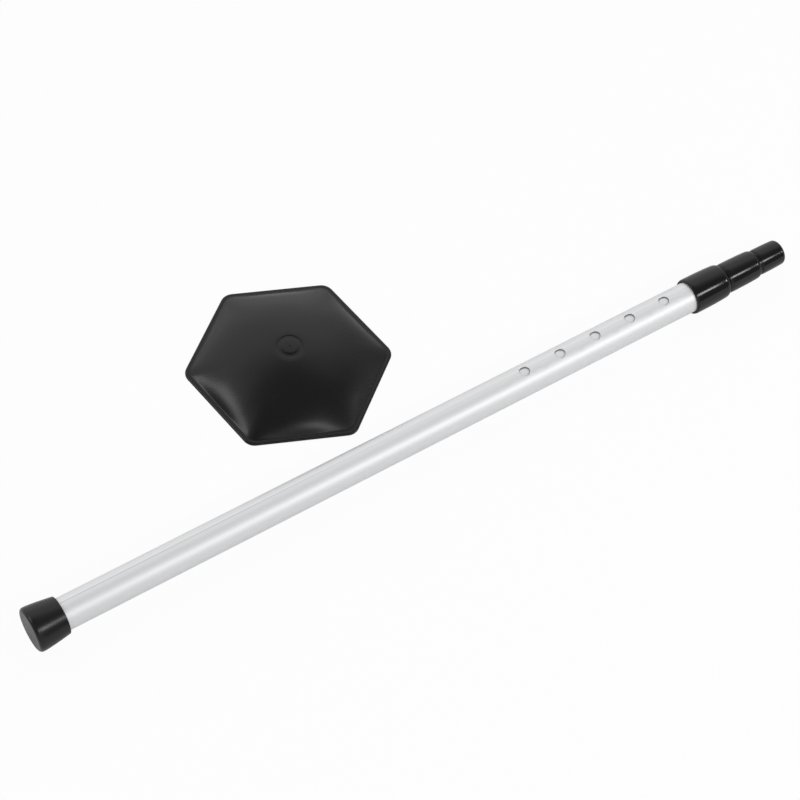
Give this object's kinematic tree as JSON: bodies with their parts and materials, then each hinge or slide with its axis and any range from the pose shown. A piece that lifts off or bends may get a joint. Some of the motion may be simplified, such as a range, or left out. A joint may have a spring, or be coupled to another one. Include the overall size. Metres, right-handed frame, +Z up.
{
  "type": "telescoping support pole with loose pad",
  "caption": "Closed telescoping aluminium support pole with snap-button holes, rubber foot and black collars, beside its loose hexagonal domed pad.",
  "frame": {"origin": "on the floor, under the middle of the box round the pole and the pad", "axes": "+X along the pole from foot to tip, +Y from the pole towards the pad, +Z up"},
  "size_m": [0.7718, 0.2412, 0.0398],
  "materials": {
    "tube_aluminium": "satin anodised",
    "foot_rubber": "smooth black rubber",
    "collar_plastic": "gloss black",
    "pad_plastic": "fine-grained satin black",
    "spring_steel": "spring steel",
    "button_steel": "polished stainless",
    "washer_steel": "zinc plated"
  },
  "bodies": {
    "outer_section": {"outer_tube": "tube_aluminium", "foot_tip": "foot_rubber", "foot_washer": "washer_steel", "outer_collar": "collar_plastic"},
    "middle_section": {"middle_tube": "tube_aluminium", "middle_collar": "collar_plastic", "middle_spring": "spring_steel"},
    "middle_latch": {"middle_button": "button_steel"},
    "inner_section": {"inner_tube": "tube_aluminium", "tip_cap": "collar_plastic", "inner_spring": "spring_steel"},
    "inner_latch": {"inner_button": "button_steel"},
    "top_pad": {"pad_shell": "pad_plastic", "pad_socket": "pad_plastic", "pad_ribs": "pad_plastic"}
  },
  "joints": [
    {"name": "middle_slide", "type": "slide", "parent": "outer_section", "child": "middle_section", "axis": [1, 0, 0], "range_m": [0, 0.5676]},
    {"name": "inner_slide", "type": "slide", "parent": "middle_section", "child": "inner_section", "axis": [1, 0, 0], "range_m": [0, 0.53665]},
    {"name": "middle_button_press", "type": "slide", "parent": "middle_section", "child": "middle_latch", "axis": [0, -0.0645, -0.9979], "range_m": [0, 0.003], "stiffness_N_per_m": 1200, "springref_m": -0.0045, "deforming": ["middle_spring"]},
    {"name": "inner_button_press", "type": "slide", "parent": "inner_section", "child": "inner_latch", "axis": [0, -0.0645, -0.9979], "range_m": [0, 0.003], "stiffness_N_per_m": 1200, "springref_m": -0.0045, "deforming": ["inner_spring"]},
    {"name": "pad_lift", "type": "slide", "parent": "outer_section", "child": "top_pad", "axis": [0, 0, 1], "range_m": [0, 0.15]}
  ]
}
